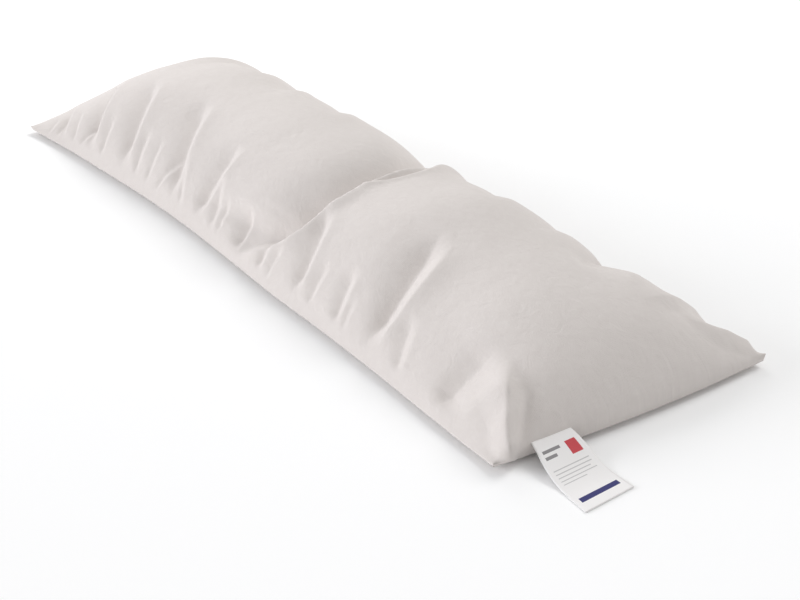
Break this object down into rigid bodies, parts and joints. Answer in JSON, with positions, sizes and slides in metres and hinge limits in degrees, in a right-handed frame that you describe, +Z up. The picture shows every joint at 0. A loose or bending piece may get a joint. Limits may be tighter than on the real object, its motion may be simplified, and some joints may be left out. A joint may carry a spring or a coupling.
{
  "type": "body pillow",
  "caption": "Long rectangular fibre-filled body pillow, soft crown, gathered long seams, a deep crease across the middle, and a care label sewn to its end.",
  "frame": {"origin": "middle of the flat underside, on the surface that the pillow lies on", "axes": "+X along the pillow towards the end with the label, +Y across it, +Z up"},
  "size_m": [1.2843, 0.391, 0.133],
  "materials": {
    "cover_cotton": "plain tight-woven off-white cotton, matt",
    "label_tape": "white woven satin tape, slight sheen"
  },
  "bodies": {
    "root": {"pillow": "cover_cotton", "label": "label_tape"}
  },
  "joints": []
}
